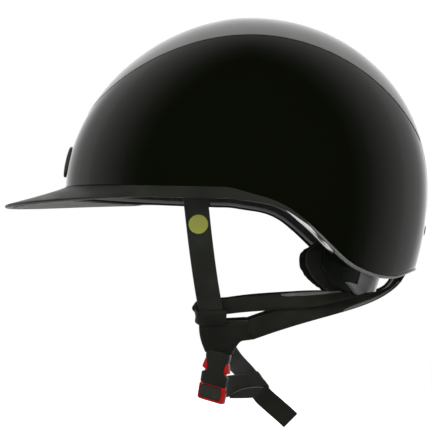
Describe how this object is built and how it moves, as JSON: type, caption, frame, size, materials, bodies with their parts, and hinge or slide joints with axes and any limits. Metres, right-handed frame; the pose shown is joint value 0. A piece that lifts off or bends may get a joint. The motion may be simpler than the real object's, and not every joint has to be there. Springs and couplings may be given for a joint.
{
  "type": "riding helmet",
  "caption": "Riding helmet with a glossy shell, satin top panel, short peak, ear arcs, tilting nape cradle and a soft harness closed by a side-release buckle.",
  "frame": {"origin": "centre of the head opening, on the helmet's mid plane", "axes": "front and peak towards -X, rear towards +X, wearer's left towards -Y, crown towards +Z"},
  "size_m": [0.3141, 0.2154, 0.3054],
  "materials": {
    "shell": "gloss",
    "panel": "satin",
    "badge": "satin",
    "plug_oval": "gloss",
    "trim": "satin",
    "lining": "woven",
    "lip": "gloss",
    "foam": "beaded",
    "stops": "matte",
    "anchors": "satin",
    "slip": "satin",
    "padding": "brushed knit",
    "cradle": "gloss",
    "nape_cover": "soft grain",
    "tab": "gloss",
    "strap": "soft grain",
    "disc": "satin",
    "socket": "satin",
    "release": "gloss",
    "webbing": "woven",
    "keeper": "satin"
  },
  "bodies": {
    "helmet": {"shell": "shell", "top_panel": "panel", "front_badge": "badge", "rear_plug": "plug_oval", "peak": "trim", "peak_lining": "lining", "rear_lip": "lip", "foam_liner": "foam", "slip_stops": "stops", "strap_anchors": "anchors", "cradle_studs": "cradle", "front_strap_left": "strap", "front_strap_right": "strap", "rear_strap_left": "strap", "rear_strap_right": "strap", "nape_strap_left": "strap", "nape_strap_right": "strap", "yoke_left": "strap", "yoke_right": "strap", "strap_disc": "disc", "buckle_socket": "socket", "chin_web": "webbing"},
    "slip": {"slip_layer": "slip", "brow_pad": "padding", "side_pad_left": "padding", "side_pad_right": "padding", "rear_pad": "padding", "crown_pad": "padding"},
    "cradle": {"nape_cradle": "cradle", "nape_pad": "nape_cover", "cradle_tab_left": "tab", "cradle_tab_right": "tab"},
    "plug": {"buckle_plug": "release", "chin_loop": "webbing"},
    "front_prong": {"prong_front": "release"},
    "rear_prong": {"prong_rear": "release"},
    "keeper": {"chin_keeper": "keeper"}
  },
  "joints": [
    {"name": "slip_yaw", "type": "hinge", "parent": "helmet", "child": "slip", "pos_m": [0.005, 0, 0.06], "axis": [0, 0, 1], "range_deg": [-4.3, 4.3], "stiffness_Nm_per_rad": 6},
    {"name": "cradle_tilt", "type": "hinge", "parent": "helmet", "child": "cradle", "pos_m": [0.06871, 0, -0.035], "axis": [0, 1, 0], "range_deg": [-3, 10], "stiffness_Nm_per_rad": 0.6, "deforming": ["nape_strap_left", "nape_strap_right"]},
    {"name": "buckle_release", "type": "slide", "parent": "helmet", "child": "plug", "axis": [-0.1668, 0, -0.986], "range_m": [0, 0.016], "deforming": ["chin_web"]},
    {"name": "prong_front_bend", "type": "hinge", "parent": "plug", "child": "front_prong", "pos_m": [-0.02812, -0.05015, -0.13383], "axis": [0.2718, 0.9613, -0.046], "range_deg": [0, 9.4]},
    {"name": "prong_rear_bend", "type": "hinge", "parent": "plug", "child": "rear_prong", "pos_m": [-0.01542, -0.05385, -0.13598], "axis": [-0.2718, -0.9613, 0.046], "range_deg": [0, 9.4]},
    {"name": "keeper_slide", "type": "slide", "parent": "plug", "child": "keeper", "axis": [0.4083, -0.7537, -0.515], "range_m": [-0.004, 0.004], "deforming": ["chin_loop"]}
  ],
  "couplings": [
    {"joint": "prong_front_bend", "follows": "buckle_release", "rad_per_m": 10.135},
    {"joint": "prong_rear_bend", "follows": "buckle_release", "rad_per_m": 10.135}
  ]
}
